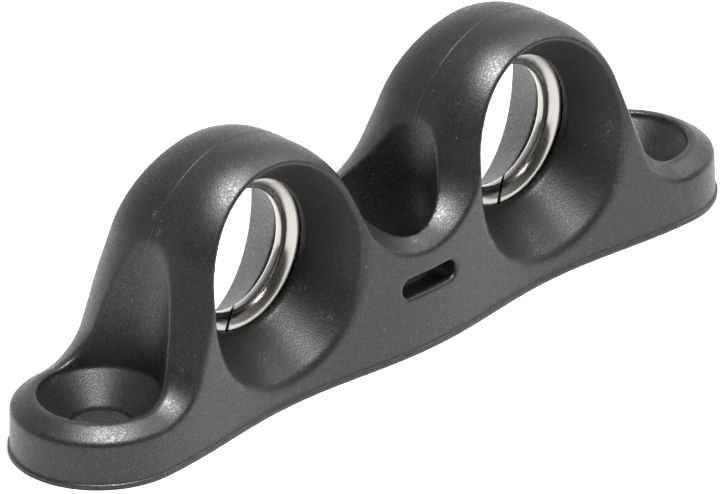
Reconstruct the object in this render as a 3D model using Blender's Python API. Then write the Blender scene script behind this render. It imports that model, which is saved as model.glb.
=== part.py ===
"""Twin-eye deck fairlead: a moulded nylon body with two arched eyes, each lined with a split
stainless wear ring, held down by three countersunk deck screws that belong to the boat.

Metres, +Z up. The origin is the middle of the flat underside. The eyes stand in a row along X and
a line runs through them along Y. The body is the same front to back and left to right.
"""
import math

import bmesh
import bpy
from mathutils import Matrix, Vector

MM = 0.001

# Driving dimensions
SCREW_PITCH = 38.0 * MM        # middle screw to end screw, and also eye to eye
EYE_HEIGHT = 14.85 * MM        # underside to the eye's axis
ARCH_RADIUS = 12.35 * MM       # eye's axis to the crest of its arch
PAD_HEIGHT = 7.0 * MM          # top of the end pads
SADDLE_HEIGHT = 12.9 * MM      # top of the low point between the arches
OUTER_LEAN = math.radians(20.4)  # how far each arch's straight flanks lean from upright
INNER_LEAN = math.radians(25.5)

# Plan outline: widest at the screws, narrowest at the eyes
WIDTH_AT_SCREWS = 18.4 * MM
WIDTH_AT_EYES = 15.3 * MM
WALL_DRAFT = math.radians(1.1)
FOOT_LIP = 0.2 * MM            # the foot stands out a little from the wall all round
FOOT_HEIGHT = 0.6 * MM
CROWN_WIDTH = 6.3 * MM         # the top surface falls away towards each wall over this width
CROWN_DROP = 2.2 * MM
CROWN_POWER = 2.3

# Eye bore: a cone from each side, meeting the ring's seat
THROAT_RADIUS = 8.1 * MM
THROAT_HALF_LENGTH = 1.5 * MM
THROAT_EDGE = 1.5 * MM         # radius of the curve from throat to cone
CONE_ANGLE = math.radians(38)  # the cone's lean above and below the line
SIDE_NARROWING = 0.36          # how much less the cone opens at its sides, for each unit of depth
RING_WIDTH = 2.8 * MM
RING_INNER_RADIUS = 6.6 * MM
RING_OUTER_RADIUS = 8.6 * MM
RING_CUT_GAP = 0.35 * MM
RING_CUT_LEAN = math.radians(52)
FIT_GAP = 0.3 * MM

# Screw recesses
HOLE_RADIUS = 3.2 * MM
RECESS_RADIUS = 6.25 * MM
RECESS_FLOOR = 5.65 * MM       # top of the countersink cone
RECESS_DRAFT = math.radians(5.8)

# Drain slot from the middle recess, through the front and back walls
SLOT_LENGTH = 7.6 * MM
SLOT_HEIGHT = 2.1 * MM
SLOT_CENTRE_HEIGHT = 7.4 * MM

# Facets
END_STEPS = 12
CROWN_STEPS = 5
ARCH_STEPS = 22
FLANK_STEPS = 3
HOLLOW_STEPS = 6
TURN_STEPS = 48
CONE_STEPS = 8
SLOT_END_STEPS = 8
RING_TURN_STEPS = 56
RING_CROWN_STEPS = 8
CLEARANCE = 2.0 * MM           # how far cutters run past the faces they cut

EYE_SIDES = {"left": -1, "right": 1}
# Where each ring is cut, anticlockwise from +X seen from the front
RING_CUT_ANGLES = {"left": math.radians(267), "right": math.radians(276)}


def clear_scene():
    for obj in list(bpy.data.objects):
        bpy.data.objects.remove(obj, do_unlink=True)


def material(name, colour, roughness, metallic):
    mat = bpy.data.materials.new(name)
    mat.use_nodes = True
    shader = mat.node_tree.nodes["Principled BSDF"]
    shader.inputs["Base Color"].default_value = (*colour, 1.0)
    shader.inputs["Roughness"].default_value = roughness
    shader.inputs["Metallic"].default_value = metallic
    return mat


def object_from_bmesh(name, bm):
    """Links a new object whose faces all point outwards."""
    bmesh.ops.recalc_face_normals(bm, faces=bm.faces)
    mesh = bpy.data.meshes.new(name)
    bm.to_mesh(mesh)
    bm.free()
    obj = bpy.data.objects.new(name, mesh)
    bpy.context.scene.collection.objects.link(obj)
    return obj


def stack(name, loops):
    """A closed solid through loops of equally many points, capped at both ends."""
    bm = bmesh.new()
    rings = [[bm.verts.new(p) for p in loop] for loop in loops]
    for lower, upper in zip(rings, rings[1:]):
        for i in range(len(lower)):
            j = (i + 1) % len(lower)
            bm.faces.new((lower[i], lower[j], upper[j], upper[i]))
    bm.faces.new(reversed(rings[0]))
    bm.faces.new(rings[-1])
    return object_from_bmesh(name, bm)


def turned(name, profile, frame):
    """A solid turned from (radius, height) points about the frame's own Z axis.

    A radius is a length, or a function of the angle for a section that isn't round.
    """
    loops = []
    for radius, height in profile:
        loop = []
        for i in range(TURN_STEPS):
            a = 2 * math.pi * i / TURN_STEPS
            r = radius(a) if callable(radius) else radius
            loop.append(frame @ Vector((r * math.cos(a), r * math.sin(a), height)))
        loops.append(loop)
    return stack(name, loops)


def half_width(x):
    """Half the plan width at the foot: a smooth wave, widest at the screws and narrowest at the eyes."""
    mean = (WIDTH_AT_SCREWS + WIDTH_AT_EYES) / 4
    swing = (WIDTH_AT_SCREWS - WIDTH_AT_EYES) / 4
    return mean + swing * math.cos(2 * math.pi * x / SCREW_PITCH)


def flank(bottom_height, lean):
    """(hollow radius, straight length) of a flank that leaves the arch at that lean and ends level.

    The hollow below the straight part bottoms out over a screw, half a pitch from the eye.
    """
    c, s = math.cos(lean), math.sin(lean)
    across = SCREW_PITCH / 2 - c * ARCH_RADIUS
    down = EYE_HEIGHT + s * ARCH_RADIUS - bottom_height
    radius = (c * across - s * down) / (1 - s)
    straight = (across - c * radius) / s
    return radius, straight


def top_profile():
    """The front view's top line from the saddle to the end screw, as (x, z, outward angle)."""
    eye = (SCREW_PITCH / 2, EYE_HEIGHT)
    saddle_radius, inner_straight = flank(SADDLE_HEIGHT, INNER_LEAN)
    pad_radius, outer_straight = flank(PAD_HEIGHT, OUTER_LEAN)
    points = []

    def arc(centre, radius, first, last, steps):
        for i in range(steps + 1):
            a = first + (last - first) * i / steps
            points.append((centre[0] + radius * math.cos(a), centre[1] + radius * math.sin(a), a))

    def straight(length, a):
        along = (math.sin(a), -math.cos(a))
        x, z, _ = points[-1]
        for i in range(1, FLANK_STEPS):
            gone = length * i / FLANK_STEPS
            points.append((x + along[0] * gone, z + along[1] * gone, a))

    arc((0.0, SADDLE_HEIGHT + saddle_radius), -saddle_radius, math.pi / 2, math.pi - INNER_LEAN, HOLLOW_STEPS)
    straight(inner_straight, math.pi - INNER_LEAN)
    arc(eye, ARCH_RADIUS, math.pi - INNER_LEAN, OUTER_LEAN, ARCH_STEPS)
    straight(outer_straight, OUTER_LEAN)
    arc((SCREW_PITCH, PAD_HEIGHT + pad_radius), -pad_radius, OUTER_LEAN, math.pi / 2, HOLLOW_STEPS)
    return points


def front_line():
    """The whole top line from the left end screw to the right one."""
    right = top_profile()
    left = [(-x, z, math.pi - a) for x, z, a in reversed(right)]
    return left[:-1] + right


def crown_sections():
    """The crown from the wall inwards, as (inset from the wall, drop below the top line)."""
    sections = []
    for i in range(CROWN_STEPS + 1):
        t = 1 - i / CROWN_STEPS
        sections.append((CROWN_WIDTH * (1 - t), CROWN_DROP * t ** CROWN_POWER))
    return sections


def level_loop(inset, place):
    """One closed loop round the body; place(x, z, a) gives a station's x and height."""
    front = []
    for x, z, a in front_line():
        px, pz = place(x, z, a)
        front.append(Vector((px, -(half_width(px) - inset - pz * math.tan(WALL_DRAFT)), pz)))
    end_radius = -front[-1].y
    end = []
    for i in range(1, END_STEPS):
        a = math.pi * (i / END_STEPS - 0.5)
        end.append(Vector((SCREW_PITCH + end_radius * math.cos(a), end_radius * math.sin(a), front[-1].z)))
    half = front + end
    return half + [Vector((-p.x, -p.y, p.z)) for p in half]


def blank_body():
    """The body before its holes: loops round the foot, wall and crown, closed above and below."""
    def straight_below_crown(height):
        return lambda x, z, a: (x - CROWN_DROP * math.cos(a), height)

    def below_top_line(drop):
        return lambda x, z, a: (x - drop * math.cos(a), z - drop * math.sin(a))

    loops = [
        level_loop(-FOOT_LIP, straight_below_crown(0.0)),
        level_loop(-FOOT_LIP, straight_below_crown(FOOT_HEIGHT / 2)),
        level_loop(0.0, straight_below_crown(FOOT_HEIGHT)),
    ]
    loops += [level_loop(inset, below_top_line(drop)) for inset, drop in crown_sections()]
    bm = bmesh.new()
    rings = [[bm.verts.new(p) for p in loop] for loop in loops]
    count = len(rings[0])
    for lower, upper in zip(rings, rings[1:]):
        for i in range(count):
            j = (i + 1) % count
            bm.faces.new((lower[i], lower[j], upper[j], upper[i]))
    stations = len(front_line())
    half = count // 2
    for ring in (rings[0], rings[-1]):
        front = ring[:stations]
        back = ring[half:half + stations][::-1]
        for i in range(stations - 1):
            bm.faces.new((front[i], front[i + 1], back[i + 1], back[i]))
        bm.faces.new(ring[stations - 1:half + 1])
        bm.faces.new(ring[half + stations - 1:] + ring[:1])
    return object_from_bmesh("fairlead_body", bm)


def combine(target, tool, operation):
    """Applies one Boolean to target's mesh and removes the tool."""
    modifier = target.modifiers.new(operation.lower(), "BOOLEAN")
    modifier.operation = operation
    modifier.solver = "EXACT"
    modifier.object = tool
    graph = bpy.context.evaluated_depsgraph_get()
    result = bpy.data.meshes.new_from_object(target.evaluated_get(graph))
    target.modifiers.remove(modifier)
    target.data = result
    bpy.data.objects.remove(tool, do_unlink=True)


def eye_frame(side):
    """An eye's frame: its own Z axis is the line's path, out through the front."""
    place = Matrix.Translation((EYE_SIDES[side] * SCREW_PITCH / 2, 0.0, EYE_HEIGHT))
    return place @ Matrix.Rotation(math.pi / 2, 4, "X")


def cone_radius(depth, angle):
    """The bore's radius at a depth from the eye's middle plane; angle 0 is along +X, 90 degrees is up."""
    past = depth - THROAT_HALF_LENGTH
    on_curve = min(past, THROAT_EDGE * math.sin(CONE_ANGLE))
    radius = THROAT_RADIUS + THROAT_EDGE - math.sqrt(THROAT_EDGE ** 2 - on_curve ** 2)
    radius += (past - on_curve) * math.tan(CONE_ANGLE)
    return radius - past * SIDE_NARROWING * math.cos(angle) ** 2


def eye_cutter(side):
    """The eye's bore: two cones and the ring's seat between them."""
    seat_half = RING_WIDTH / 2 + FIT_GAP
    deepest = WIDTH_AT_SCREWS / 2 + CLEARANCE
    cone = []
    for i in range(CONE_STEPS + 1):
        depth = seat_half + (deepest - seat_half) * i / CONE_STEPS
        cone.append((lambda a, depth=depth: cone_radius(depth, a), depth))
    seat = [(RING_OUTER_RADIUS + FIT_GAP, -seat_half), (RING_OUTER_RADIUS + FIT_GAP, seat_half)]
    back = [(radius, -depth) for radius, depth in reversed(cone)]
    return turned(f"eye_cutter_{side}", back + seat + cone, eye_frame(side))


def screw_cutter(x):
    """Screw hole, countersink and a drafted recess that also scoops the arches' flanks."""
    top = EYE_HEIGHT + ARCH_RADIUS + CLEARANCE
    cone_foot = RECESS_FLOOR - (RECESS_RADIUS - HOLE_RADIUS)
    widening = (top - RECESS_FLOOR) * math.tan(RECESS_DRAFT)
    profile = [
        (HOLE_RADIUS, -CLEARANCE),
        (HOLE_RADIUS, cone_foot),
        (RECESS_RADIUS, RECESS_FLOOR),
        (RECESS_RADIUS + widening, top),
    ]
    return turned("screw_cutter", profile, Matrix.Translation((x, 0.0, 0.0)))


def slot_cutter():
    """A level pill-shaped bar through the middle recess and both walls."""
    radius = SLOT_HEIGHT / 2
    straight = SLOT_LENGTH / 2 - radius
    end = []
    for i in range(SLOT_END_STEPS + 1):
        a = math.pi * (i / SLOT_END_STEPS - 0.5)
        end.append((straight + radius * math.cos(a), radius * math.sin(a)))
    outline = end + [(-x, -z) for x, z in end]
    loops = []
    for y in (-WIDTH_AT_SCREWS, WIDTH_AT_SCREWS):
        loops.append([Vector((x, y, z + SLOT_CENTRE_HEIGHT)) for x, z in outline])
    return stack("slot_cutter", loops)


def make_body(mat):
    body = blank_body()
    for side in EYE_SIDES:
        combine(body, eye_cutter(side), "DIFFERENCE")
    for x in (-SCREW_PITCH, 0.0, SCREW_PITCH):
        combine(body, screw_cutter(x), "DIFFERENCE")
    combine(body, slot_cutter(), "DIFFERENCE")
    body.data.materials.clear()
    body.data.materials.append(mat)
    shade_round(body)
    return body


def ring_section():
    """The ring's section as (radius, offset along the line): a round crown on a squared back."""
    half = RING_WIDTH / 2
    crown = []
    for i in range(RING_CROWN_STEPS + 1):
        a = math.pi * i / RING_CROWN_STEPS
        depth = THROAT_RADIUS - RING_INNER_RADIUS
        crown.append((THROAT_RADIUS - depth * math.sin(a), -half * math.cos(a)))
    return crown + [(RING_OUTER_RADIUS, half), (RING_OUTER_RADIUS, -half)]


def make_ring(side, mat):
    """A sprung ring with a leaning cut, so its two ends nearly meet."""
    section = ring_section()
    frame = eye_frame(side)
    half_gap = RING_CUT_GAP / 2 / RING_INNER_RADIUS
    lean = math.tan(RING_CUT_LEAN) / RING_INNER_RADIUS
    loops = []
    for i in range(RING_TURN_STEPS + 1):
        share = i / RING_TURN_STEPS
        turn = RING_CUT_ANGLES[side] + half_gap + (2 * math.pi - 2 * half_gap) * share
        loop = []
        for radius, offset in section:
            a = turn - lean * offset
            loop.append(frame @ Vector((radius * math.cos(a), radius * math.sin(a), offset)))
        loops.append(loop)
    ring = stack(f"wear_ring_{side}", loops)
    ring.data.materials.append(mat)
    shade_round(ring)
    return ring


def shade_round(obj):
    obj.data.shade_smooth()
    obj.data.set_sharp_from_angle(angle=math.radians(35))


def main():
    clear_scene()
    nylon = material("black_nylon", (0.030, 0.031, 0.031), 0.5, 0.0)
    stainless = material("stainless_steel", (0.62, 0.60, 0.57), 0.14, 1.0)
    make_body(nylon)
    for side in EYE_SIDES:
        make_ring(side, stainless)


main()
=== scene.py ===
"""Final look of the twin-eye deck fairlead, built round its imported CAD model.

The moulded nylon body is one smooth closed surface, found from a distance-like field in
millimetres, and each wear ring is a sprung band of polished stainless steel swept round its eye.
"""
import math

import bpy
import numpy as np
from mathutils import Matrix, Vector


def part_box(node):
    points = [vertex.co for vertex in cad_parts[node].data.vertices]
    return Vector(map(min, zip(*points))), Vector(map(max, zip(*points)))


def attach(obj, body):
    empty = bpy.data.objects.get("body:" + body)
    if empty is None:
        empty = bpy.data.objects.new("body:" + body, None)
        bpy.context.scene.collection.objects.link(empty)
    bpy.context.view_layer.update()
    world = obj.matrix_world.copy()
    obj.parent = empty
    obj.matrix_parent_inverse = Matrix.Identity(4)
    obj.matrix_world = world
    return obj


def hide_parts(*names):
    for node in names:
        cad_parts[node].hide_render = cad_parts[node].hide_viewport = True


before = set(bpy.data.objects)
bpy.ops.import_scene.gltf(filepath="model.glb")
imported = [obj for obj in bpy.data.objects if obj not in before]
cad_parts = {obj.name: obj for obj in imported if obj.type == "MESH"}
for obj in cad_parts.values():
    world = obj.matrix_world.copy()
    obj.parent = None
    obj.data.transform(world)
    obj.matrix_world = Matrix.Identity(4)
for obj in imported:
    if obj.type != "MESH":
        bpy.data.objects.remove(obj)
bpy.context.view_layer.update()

MM = 0.001

# Read from the CAD, in mm
body_low, body_high = (np.array(corner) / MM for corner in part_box("fairlead_body"))
ring_low, ring_high = (np.array(corner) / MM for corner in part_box("wear_ring_right"))
EYE_X = (ring_low[0] + ring_high[0]) / 2
EYE_Z = (ring_low[2] + ring_high[2]) / 2
RING_OUTER = (ring_high[2] - ring_low[2]) / 2
RING_WIDTH = ring_high[1] - ring_low[1]
PITCH = 2 * EYE_X
ARCH_RADIUS = body_high[2] - EYE_Z
FOOT_LIP = 0.2                 # how far the foot stands out past the walls
END_RADIUS = body_high[0] - PITCH - FOOT_LIP

# Body, in mm
EYE_HALF_WIDTH = 7.65          # half the plan width at the eyes
PAD_HEIGHT = 7.0
SADDLE_HEIGHT = 12.9
OUTER_LEAN = math.radians(20.4)
INNER_LEAN = math.radians(25.5)
WALL_DRAFT = math.radians(1.1)
FOOT_HEIGHT = 0.45
FOOT_FILLET = 0.15
CROWN_WIDTH = 6.3
CROWN_DROP = 2.2
CROWN_POWER = 2.3
CROWN_EDGE = 0.35              # rounding where the crown meets the wall

# Mould parting line over each arch, in mm
PARTING_Y = 0.4
PARTING_HALF_WIDTH = 0.14
PARTING_HEIGHT = 0.045
PARTING_START = 14.5           # height at which the line begins

# Eye bore, in mm
THROAT_RADIUS = 8.1
THROAT_HALF_LENGTH = 1.5
THROAT_EDGE = 1.5              # radius of the curve from throat to cone
CONE_ANGLE = math.radians(38)
SIDE_NARROWING = 0.36          # how much less the cone opens at its sides, for each mm of depth
MOUTH_EDGE = 0.6
SEAT_GAP = 0.05                # between the ring and its groove, in front and round it
SEAT_GAP_BACK = 0.5            # behind the ring, where the groove shows as a dark line

# Screw recesses and drain slot, in mm
HOLE_RADIUS = 3.2
RECESS_RADIUS = 6.25
RECESS_FLOOR = 5.65
RECESS_DRAFT = math.radians(5.8)
RIM_EDGE = 0.6                 # rounding of the recess rims
SCOOP_EDGE = 0.22              # rounding higher up, where the recesses cut into the arches
LEDGE_RADIUS = 7.15            # a shallow step runs round each recess
LEDGE_DEPTH = 0.12
LEDGE_SLOPE_WIDTH = 0.35
LEDGE_TOP = 8.5                # height above which the step has faded out
SLOT_LENGTH = 7.6
SLOT_HEIGHT = 2.1
SLOT_CENTRE = 7.4
SLOT_EDGE = 0.5
SLOT_START = 3.0               # the slot runs from here outwards, on both sides

# Grid on which the body's surface is found, in mm
CELL = 0.28
FOOT_CELL = 0.1
NORMAL_STEP = 0.02             # step of the slopes that place the surface's points
CREASE_DAMPING = 0.06          # keeps a point near the middle of its cell where slopes agree
FINE_SHADING_STEP = 0.05       # step of the slopes that give the shading normals
RIM_SHADING_STEP = 0.22        # the same between the rim heights, where it softens the edges
RIM_HEIGHTS = (1.0, 9.0)

# Wear rings, in mm
RING_CREST = 6.57              # inner radius of the polished crown
RING_CUT_ANGLES = {"left": math.radians(267), "right": math.radians(276)}
RING_CUT_LEAN = math.radians(52)
RING_CUT_GAP = 0.35
RING_CORNER = 0.15             # bevel of the band's hidden outer corners
RING_MIDDLE = 0.3              # the ends shrink towards this far outside the crown's middle
RING_ENDS = [(0.0, 0.90), (0.0002, 0.97), (0.0008, 1.0)]    # share of the turn, section size
RING_STEPS = 220
CROWN_STEPS = 22

# Camera: degrees, mm, and image pixels for each mm at the origin
VIEW_AZIMUTH = 45.03
VIEW_ELEVATION = 27.25
VIEW_ROLL = -0.91
VIEW_DISTANCE = 1410.4
VIEW_SCALE = 9.849
VIEW_SLIDE = (0.864, -7.104)   # mm across and up the image
IMAGE_WIDTH = 720
SENSOR_WIDTH = 36


# ---------------------------------------------------------------- the body's field

def smooth_max(a, b, width):
    """The larger of the two, rounded over where they are within width of each other."""
    share = np.clip(width - np.abs(a - b), 0, None) / width
    return np.maximum(a, b) + share * share * width / 4


def smooth_min(a, b, width):
    return -smooth_max(-a, -b, width)


def half_width(x):
    """Half the plan width: a smooth wave, widest at the screws and narrowest at the eyes."""
    mean = (END_RADIUS + EYE_HALF_WIDTH) / 2
    swing = (END_RADIUS - EYE_HALF_WIDTH) / 2
    return mean + swing * np.cos(2 * np.pi * x / PITCH)


def plan(x, y):
    """Distance outside the plan outline, whose ends are round."""
    along = np.abs(x)
    side = np.abs(y) - half_width(along)
    end = np.hypot(along - PITCH, y) - END_RADIUS
    return np.where(along > PITCH, end, side)


def flank(bottom_height, lean):
    """(hollow radius, straight length) of a flank that leaves the arch at that lean and ends level."""
    c, s = math.cos(lean), math.sin(lean)
    across = PITCH / 2 - c * ARCH_RADIUS
    down = EYE_Z + s * ARCH_RADIUS - bottom_height
    radius = (c * across - s * down) / (1 - s)
    return radius, (across - c * radius) / s


def top_line(x, z):
    """Distance above the front view's top line: arches, straight flanks and the hollows between."""
    out = np.abs(x) - EYE_X
    up = z - EYE_Z
    height = np.hypot(out, up) - ARCH_RADIUS
    for side, bottom, lean in ((1, PAD_HEIGHT, OUTER_LEAN), (-1, SADDLE_HEIGHT, INNER_LEAN)):
        radius, straight = flank(bottom, lean)
        away = side * out
        across = away * math.cos(lean) + up * math.sin(lean) - ARCH_RADIUS
        down = away * math.sin(lean) - up * math.cos(lean)
        hollow = radius - np.hypot(PITCH / 2 - away, z - bottom - radius)
        here = away > 0
        height = np.where(here & (down > 0), across, height)
        height = np.where(here & (down > straight), hollow, height)
    return np.where(out > PITCH / 2, z - PAD_HEIGHT, height)


def bore(x, y, z):
    """Distance inside the eye's bore, a cone from each side; negative in the material."""
    out = np.abs(x) - EYE_X
    up = z - EYE_Z
    radius = np.maximum(np.hypot(out, up), 1e-6)
    past = np.abs(y) - THROAT_HALF_LENGTH
    radius = radius + np.clip(past, 0, None) * SIDE_NARROWING * (out / radius) ** 2
    across = THROAT_RADIUS + THROAT_EDGE - radius
    curve = np.hypot(across, past) - THROAT_EDGE
    c, s = math.cos(CONE_ANGLE), math.sin(CONE_ANGLE)
    cone = across * c + past * s - THROAT_EDGE
    beyond = past * c > across * s
    return np.where(past < 0, THROAT_RADIUS - radius, np.where(beyond, cone, curve))


def seat(x, y, z):
    """The groove that holds a wear ring; positive inside it."""
    radius = np.hypot(np.abs(x) - EYE_X, z - EYE_Z)
    front = y + RING_WIDTH / 2 + SEAT_GAP
    back = RING_WIDTH / 2 + SEAT_GAP_BACK - y
    return np.minimum(RING_OUTER + SEAT_GAP - radius, np.minimum(front, back))


def recess(x, y, z, screw_x):
    """Screw hole, countersink and drafted head recess; positive inside them."""
    radius = np.hypot(x - screw_x, y)
    hole = HOLE_RADIUS - radius
    countersink = (RECESS_RADIUS - radius + z - RECESS_FLOOR) * math.sqrt(0.5)
    wall = RECESS_RADIUS + (z - RECESS_FLOOR) * math.tan(RECESS_DRAFT) - radius
    return np.maximum(hole, np.minimum(countersink, wall))


def ledge(x, y, z):
    """Depth of the shallow step round the screw recesses."""
    from_screw = np.hypot(x - PITCH * np.round(x / PITCH), y)
    share = np.clip((LEDGE_RADIUS - from_screw) / LEDGE_SLOPE_WIDTH, 0, 1)
    return LEDGE_DEPTH * share * np.clip(LEDGE_TOP - z, 0, 1)


def slot(x, y, z):
    """The level drain slot through the front and back walls; positive inside it."""
    straight = (SLOT_LENGTH - SLOT_HEIGHT) / 2
    pill = SLOT_HEIGHT / 2 - np.hypot(x - np.clip(x, -straight, straight), z - SLOT_CENTRE)
    return np.minimum(pill, np.abs(y) - SLOT_START)


def body_field(x, y, z):
    """Negative in the nylon and positive outside, close to a distance near the surface."""
    outline = plan(x, y)
    wall = outline + z * math.tan(WALL_DRAFT)
    inset = np.clip(1 + wall / CROWN_WIDTH, 0, 2)
    slope = CROWN_DROP * CROWN_POWER / CROWN_WIDTH * inset ** (CROWN_POWER - 1)
    crown = (top_line(x, z) + CROWN_DROP * inset ** CROWN_POWER) / np.sqrt(1 + slope ** 2)
    ridge = np.clip(1 - np.abs(y - PARTING_Y) / PARTING_HALF_WIDTH, 0, 1)
    crown = crown - PARTING_HEIGHT * ridge * (z > PARTING_START)
    field = smooth_max(crown + ledge(x, y, z), wall, CROWN_EDGE)
    foot = np.maximum(outline - FOOT_LIP, z - FOOT_HEIGHT)
    field = smooth_min(field, foot, FOOT_FILLET)
    field = smooth_max(field, bore(x, y, z), MOUTH_EDGE)
    field = np.maximum(field, seat(x, y, z))
    rounding = RIM_EDGE + (SCOOP_EDGE - RIM_EDGE) * np.clip((z - PAD_HEIGHT) / 3, 0, 1)
    for screw_x in (-PITCH, 0.0, PITCH):
        field = smooth_max(field, recess(x, y, z, screw_x), rounding)
    field = smooth_max(field, slot(x, y, z), SLOT_EDGE)
    return np.maximum(field, -z)


# ---------------------------------------------------------------- from field to mesh

def gradient(field, points, step):
    """Unit outward directions of the field at the points; the step is one length or one for each."""
    columns = []
    for axis in range(3):
        shift = np.zeros_like(points)
        shift[:, axis] = step
        columns.append(field(*(points + shift).T) - field(*(points - shift).T))
    slopes = np.stack(columns, axis=1)
    return slopes / np.maximum(np.linalg.norm(slopes, axis=1, keepdims=True), 1e-9)


def surface_of(field, axes):
    """The field's zero surface on a grid, as (points, quads).

    There is one point in each crossed cell, drawn into the creases that pass through it.
    """
    counts = [len(axis) for axis in axes]
    values = field(*np.meshgrid(*axes, indexing="ij"))
    strides = np.array([counts[1] * counts[2], counts[2], 1])
    quads, owners, crossings, directions = [], [], [], []
    for axis in range(3):
        near = np.take(values, range(counts[axis] - 1), axis)
        far = np.take(values, range(1, counts[axis]), axis)
        index = np.argwhere((near < 0) != (far < 0))
        start = near[tuple(index.T)]
        end = far[tuple(index.T)]
        points = np.stack([axes[i][index[:, i]] for i in range(3)], axis=1)
        points[:, axis] += (axes[axis][index[:, axis] + 1] - points[:, axis]) * start / (start - end)
        first = index @ strides
        u, v = strides[(axis + 1) % 3], strides[(axis + 2) % 3]
        around = np.stack([first, first - u, first - u - v, first - v], axis=1)
        quads.append(np.where((start < 0)[:, None], around, around[:, ::-1]))
        owners.append(around.ravel())
        crossings.append(np.repeat(points, 4, axis=0))
        directions.append(np.repeat(gradient(field, points, NORMAL_STEP), 4, axis=0))
    cells, owner = np.unique(np.concatenate(owners), return_inverse=True)
    crossings = np.concatenate(crossings)
    directions = np.concatenate(directions)

    def total(weights):
        return np.bincount(owner, weights, len(cells))

    number = total(np.ones(len(owner)))
    middle = np.stack([total(crossings[:, i]) / number for i in range(3)], axis=1)
    offset = np.einsum("ij,ij->i", directions, crossings - middle[owner])
    pull = np.stack([total(directions[:, i] * offset) for i in range(3)], axis=1)
    matrix = np.empty((len(cells), 3, 3))
    for i in range(3):
        for j in range(3):
            matrix[:, i, j] = total(directions[:, i] * directions[:, j])
    matrix += CREASE_DAMPING * number[:, None, None] * np.eye(3)
    points = middle + np.linalg.solve(matrix, pull[..., None])[..., 0]
    places = (cells // strides[0], cells // strides[1] % counts[1], cells % counts[2])
    for i in range(3):
        points[:, i] = np.clip(points[:, i], axes[i][places[i]], axes[i][places[i] + 1])
    return points, np.searchsorted(cells, np.concatenate(quads))


def body_grid():
    """Grid lines in x, y and z, closer together at the parting line and at the foot's thin lip."""
    x, y, z = (np.arange(body_low[i] - 1.5 * CELL, body_high[i] + 1.5 * CELL, CELL) for i in range(3))
    parting = PARTING_Y + PARTING_HALF_WIDTH * np.array([-1.6, -1.2, -0.8, -0.4, 0, 0.4, 0.8, 1.2, 1.6])
    left = np.arange(parting[0] - CELL / 2, y[0] - CELL, -CELL)[::-1]
    right = np.arange(parting[-1] + CELL / 2, y[-1] + CELL, CELL)
    foot = np.arange(-1.5 * FOOT_CELL, 2 * FOOT_HEIGHT, FOOT_CELL)
    above = np.arange(foot[-1] + CELL / 2, z[-1] + CELL, CELL)
    return x, np.concatenate([left, parting, right]), np.concatenate([foot, above])


def make_body():
    """The moulding, shaded by the field's own slopes."""
    points, quads = surface_of(body_field, body_grid())
    mesh = bpy.data.meshes.new("fairlead_moulding")
    mesh.from_pydata((points * MM).tolist(), [], quads.tolist())
    mesh.shade_smooth()
    near_rim = (points[:, 2] > RIM_HEIGHTS[0]) & (points[:, 2] < RIM_HEIGHTS[1])
    step = np.where(near_rim, RIM_SHADING_STEP, FINE_SHADING_STEP)
    mesh.normals_split_custom_set_from_vertices(gradient(body_field, points, step).tolist())
    obj = bpy.data.objects.new("fairlead_moulding", mesh)
    bpy.context.scene.collection.objects.link(obj)
    return obj


# ---------------------------------------------------------------- wear rings

def ring_section():
    """The ring's section as (radius, offset towards the back): a round crown on a squared band."""
    half = RING_WIDTH / 2
    section = []
    for i in range(CROWN_STEPS + 1):
        a = math.pi * i / CROWN_STEPS
        section.append((THROAT_RADIUS - (THROAT_RADIUS - RING_CREST) * math.sin(a), -half * math.cos(a)))
    outer, inner_corner, side = RING_OUTER, RING_OUTER - RING_CORNER, half - RING_CORNER
    section += [(inner_corner, half), (outer, side), (outer, -side), (inner_corner, -half)]
    return section


def make_ring(name, eye_x, cut_angle):
    """A band swept once round the eye, with a leaning cut between its softened ends."""
    section = ring_section()
    centre = (THROAT_RADIUS + RING_CREST) / 2 + RING_MIDDLE
    loops = []
    stations = RING_ENDS + [(i / RING_STEPS, 1.0) for i in range(1, RING_STEPS)]
    stations += [(1 - share, size) for share, size in reversed(RING_ENDS)]
    half_gap = RING_CUT_GAP / 2 / RING_CREST
    lean = math.tan(RING_CUT_LEAN) / RING_CREST
    for share, size in stations:
        turn = cut_angle + half_gap + (2 * math.pi - 2 * half_gap) * share
        loop = []
        for radius, offset in section:
            a = turn + lean * offset
            r = centre + (radius - centre) * size
            loop.append((eye_x + r * math.cos(a), offset * size, EYE_Z + r * math.sin(a)))
        loops.append(loop)
    count = len(section)
    points = [Vector(p) * MM for loop in loops for p in loop]
    faces = []
    for i in range(len(loops) - 1):
        for j in range(count):
            k = (j + 1) % count
            faces.append((i * count + j, i * count + k, (i + 1) * count + k, (i + 1) * count + j))
    faces.append(tuple(reversed(range(count))))
    faces.append(tuple(range((len(loops) - 1) * count, len(loops) * count)))
    mesh = bpy.data.meshes.new(name)
    mesh.from_pydata(points, [], faces)
    mesh.validate()
    mesh.shade_smooth()
    mesh.set_sharp_from_angle(angle=math.radians(50))
    obj = bpy.data.objects.new(name, mesh)
    bpy.context.scene.collection.objects.link(obj)
    return obj


# ---------------------------------------------------------------- materials

def new_material(name):
    mat = bpy.data.materials.new(name)
    mat.use_nodes = True
    return mat, mat.node_tree, mat.node_tree.nodes["Principled BSDF"]


def add(tree, kind, settings=None, **inputs):
    """A node with its properties and inputs set; an input is a value or another node's output."""
    node = tree.nodes.new(kind)
    for key, value in (settings or {}).items():
        setattr(node, key, value)
    for key, value in inputs.items():
        socket = node.inputs[int(key[1:])] if key[0] == "i" and key[1:].isdigit() else node.inputs[key]
        if isinstance(value, bpy.types.NodeSocket):
            tree.links.new(value, socket)
        else:
            socket.default_value = value
    return node


def noise(tree, where, per_mm, detail=2.0, roughness=0.5):
    """A noise of about that many features in each mm."""
    return add(tree, "ShaderNodeTexNoise", Vector=where, Scale=per_mm / MM, Detail=detail,
               Roughness=roughness).outputs["Fac"]


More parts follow.
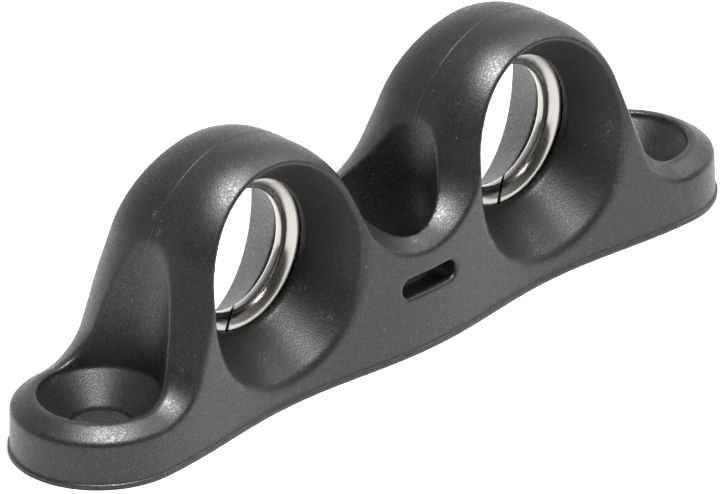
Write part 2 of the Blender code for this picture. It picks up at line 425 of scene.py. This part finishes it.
def ramp(tree, value, low, high, start, end):
    """value mapped from low..high to start..end, held outside."""
    node = add(tree, "ShaderNodeMapRange", Value=value)
    for key, number in zip(("From Min", "From Max", "To Min", "To Max"), (low, high, start, end)):
        node.inputs[key].default_value = number
    return node.outputs["Result"]


def maths(tree, operation, a, b=None):
    inputs = {"i0": a} if b is None else {"i0": a, "i1": b}
    return add(tree, "ShaderNodeMath", {"operation": operation}, **inputs).outputs[0]


def mix_colour(tree, factor, a, b):
    node = add(tree, "ShaderNodeMix", {"data_type": "RGBA"})
    for socket, value in zip((node.inputs[0], node.inputs[6], node.inputs[7]), (factor, a, b)):
        if isinstance(value, bpy.types.NodeSocket):
            tree.links.new(value, socket)
        else:
            socket.default_value = value
    return node.outputs[2]


def nylon_material():
    """Black glass-filled nylon from a spark-textured mould: fine grain, pale specks, light scuffs, and
    painted glints for the sparkle of its highlights.
    """
    mat, tree, shader = new_material("black_nylon_moulded")
    where = add(tree, "ShaderNodeTexCoord").outputs["Object"]
    grain = noise(tree, where, 6.0, detail=2.0, roughness=0.6)
    coarse = noise(tree, where, 3.0, detail=2.0)
    # This noise paints glints into the colour (painted highlight sparkle) and also lowers the roughness at
    # the same spots
    painted_glint_and_gloss = noise(tree, where, 5.0, detail=1.0)
    cloud = noise(tree, where, 0.12, detail=3.0)
    speck = noise(tree, where, 3.1, detail=1.0)
    scuff_at = noise(tree, where, 0.35, detail=4.0, roughness=0.7)
    scuff_on_grain = ramp(tree, grain, 0.42, 0.6, 0.0, 1.0)
    scuff = maths(tree, "MULTIPLY", ramp(tree, scuff_at, 0.64, 0.72, 0.0, 1.0), scuff_on_grain)
    pale = ramp(tree, speck, 0.785, 0.82, 0.0, 0.4)
    colour = mix_colour(tree, ramp(tree, cloud, 0.35, 0.65, 0.0, 1.0),
                        (0.0038, 0.0041, 0.0041, 1), (0.0056, 0.0060, 0.0059, 1))
    colour = mix_colour(tree, ramp(tree, grain, 0.35, 0.7, 0.0, 0.5), colour, (0.015, 0.016, 0.0155, 1))
    # Painted glints: a lighter base colour in random spots stands in for the sparkle of highlights on the
    # spark texture
    colour = mix_colour(tree, ramp(tree, painted_glint_and_gloss, 0.5, 0.72, 0.0, 1.0), colour, (0.026, 0.027, 0.0265, 1))
    colour = mix_colour(tree, maths(tree, "MULTIPLY", scuff, 0.35), colour, (0.22, 0.22, 0.215, 1))
    colour = mix_colour(tree, pale, colour, (0.42, 0.42, 0.41, 1))
    tree.links.new(colour, shader.inputs["Base Color"])
    rough = ramp(tree, maths(tree, "ADD", coarse, maths(tree, "MULTIPLY", cloud, 0.5)), 0.5, 1.0, 0.35, 0.47)
    rough = maths(tree, "ADD", rough, ramp(tree, painted_glint_and_gloss, 0.38, 0.68, 0.06, -0.10))
    tree.links.new(rough, shader.inputs["Roughness"])
    height = maths(tree, "ADD", maths(tree, "MULTIPLY", grain, 0.7), maths(tree, "MULTIPLY", coarse, 0.3))
    bump = add(tree, "ShaderNodeBump", Height=height, Strength=0.5, Distance=0.05 * MM)
    tree.links.new(bump.outputs["Normal"], shader.inputs["Normal"])
    shader.inputs["Specular IOR Level"].default_value = 0.55
    return mat


def steel_material(name, eye_x):
    """Polished stainless steel with fine turning marks that run round the ring."""
    mat, tree, shader = new_material(name)
    where = add(tree, "ShaderNodeTexCoord").outputs["Object"]
    split = add(tree, "ShaderNodeSeparateXYZ", Vector=where)
    x = maths(tree, "SUBTRACT", split.outputs["X"], eye_x * MM)
    z = maths(tree, "SUBTRACT", split.outputs["Z"], EYE_Z * MM)
    squares = maths(tree, "ADD", maths(tree, "MULTIPLY", x, x), maths(tree, "MULTIPLY", z, z))
    radius = maths(tree, "SQRT", squares)
    angle = maths(tree, "ARCTAN2", z, x)
    unrolled = add(tree, "ShaderNodeCombineXYZ", X=radius, Y=split.outputs["Y"],
                   Z=maths(tree, "MULTIPLY", angle, 0.15 * MM)).outputs["Vector"]
    lines = noise(tree, unrolled, 9.0, detail=3.0, roughness=0.6)
    smear = noise(tree, where, 0.5, detail=3.0)
    pits = noise(tree, where, 2.6, detail=1.0)
    colour = mix_colour(tree, smear, (0.37, 0.352, 0.325, 1), (0.48, 0.46, 0.43, 1))
    colour = mix_colour(tree, ramp(tree, pits, 0.72, 0.80, 0.0, 0.5), colour, (0.25, 0.23, 0.20, 1))
    tree.links.new(colour, shader.inputs["Base Color"])
    rough = ramp(tree, maths(tree, "ADD", lines, smear), 0.7, 1.3, 0.15, 0.28)
    tree.links.new(rough, shader.inputs["Roughness"])
    bump = add(tree, "ShaderNodeBump", Height=lines, Strength=0.18, Distance=0.02 * MM)
    tree.links.new(bump.outputs["Normal"], shader.inputs["Normal"])
    shader.inputs["Metallic"].default_value = 1.0
    return mat


# ---------------------------------------------------------------- assembly

body = make_body()
body.data.materials.append(nylon_material())
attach(body, "root")
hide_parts("fairlead_body")

for side, eye_x in (("left", -EYE_X), ("right", EYE_X)):
    ring = make_ring(f"steel_ring_{side}", eye_x, RING_CUT_ANGLES[side])
    ring.data.materials.append(steel_material(f"stainless_{side}", eye_x))
    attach(ring, "root")
    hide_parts(f"wear_ring_{side}")


# ---------------------------------------------------------------- floor, light and camera

def make_floor():
    """A wide pale floor, just below the foot."""
    size = 6.0                                 # half its side, in metres
    mesh = bpy.data.meshes.new("floor")
    corners = [(-size, -size, 0), (size, -size, 0), (size, size, 0), (-size, size, 0)]
    mesh.from_pydata(corners, [], [(0, 1, 2, 3)])
    floor = bpy.data.objects.new("floor", mesh)
    floor.location.z = -0.05 * MM
    bpy.context.scene.collection.objects.link(floor)
    mat, _, shader = new_material("floor_white")
    shader.inputs["Base Color"].default_value = (0.80, 0.80, 0.80, 1)
    shader.inputs["Roughness"].default_value = 0.9
    shader.inputs["Specular IOR Level"].default_value = 0.1
    mesh.materials.append(mat)


def area_light(name, azimuth, elevation, distance, size, power):
    """A square soft light that looks at the origin; azimuth 0 stands in front, 90 to the right.

    The distance and size are in metres and the power in watts.
    """
    data = bpy.data.lights.new(name, "AREA")
    data.energy = power
    data.size = size
    light = bpy.data.objects.new(name, data)
    a, e = math.radians(azimuth), math.radians(elevation)
    towards = Vector((math.sin(a) * math.cos(e), -math.cos(a) * math.cos(e), math.sin(e)))
    light.location = towards * distance
    light.rotation_euler = towards.to_track_quat("Z", "Y").to_euler()
    bpy.context.scene.collection.objects.link(light)


def make_world():
    """A pale room, brightest low down behind on the right, and dim on the left, in front and above."""
    world = bpy.data.worlds.new("studio")
    world.use_nodes = True
    tree = world.node_tree
    direction = add(tree, "ShaderNodeTexCoord").outputs["Generated"]
    bright_side = Vector((0.80, 0.35, -0.15)).normalized()
    towards = add(tree, "ShaderNodeVectorMath", {"operation": "DOT_PRODUCT"}, i0=direction, i1=bright_side)
    level = ramp(tree, towards.outputs["Value"], -0.6, 1.0, 0.22, 1.3)
    split = add(tree, "ShaderNodeSeparateXYZ", Vector=direction)
    ceiling = ramp(tree, split.outputs["Z"], 0.4, 0.8, 1.0, 0.35)
    front = ramp(tree, split.outputs["Y"], -0.9, -0.1, 0.3, 1.0)
    strength = maths(tree, "MULTIPLY", level, maths(tree, "MULTIPLY", ceiling, front))
    tree.links.new(strength, tree.nodes["Background"].inputs["Strength"])
    tree.nodes["Background"].inputs["Color"].default_value = (1.0, 1.0, 1.0, 1)
    bpy.context.scene.world = world


def make_camera():
    """A long lens from the left front, a little above; slid sideways to frame the part, without shift."""
    azimuth, elevation, roll = (math.radians(a) for a in (VIEW_AZIMUTH, VIEW_ELEVATION, VIEW_ROLL))
    across = Vector((math.cos(azimuth), -math.sin(azimuth), 0))
    back = Vector((-math.sin(azimuth) * math.cos(elevation), -math.cos(azimuth) * math.cos(elevation),
                   math.sin(elevation)))
    up = back.cross(across)
    right = across * math.cos(roll) + up * math.sin(roll)
    top = up * math.cos(roll) - across * math.sin(roll)
    data = bpy.data.cameras.new("camera")
    data.sensor_width = SENSOR_WIDTH
    data.lens = VIEW_SCALE * VIEW_DISTANCE * SENSOR_WIDTH / IMAGE_WIDTH
    camera = bpy.data.objects.new("camera", data)
    camera.location = (back * VIEW_DISTANCE - right * VIEW_SLIDE[0] - top * VIEW_SLIDE[1]) * MM
    camera.rotation_euler = Matrix((right, top, back)).transposed().to_euler()
    bpy.context.scene.collection.objects.link(camera)
    bpy.context.scene.camera = camera


make_floor()
make_world()
area_light("key", -24, 81, 0.8, 0.32, 12.8)
area_light("side", 80, 48, 0.8, 0.4, 2.0)
make_camera()
bpy.context.scene.view_settings.view_transform = "Standard"
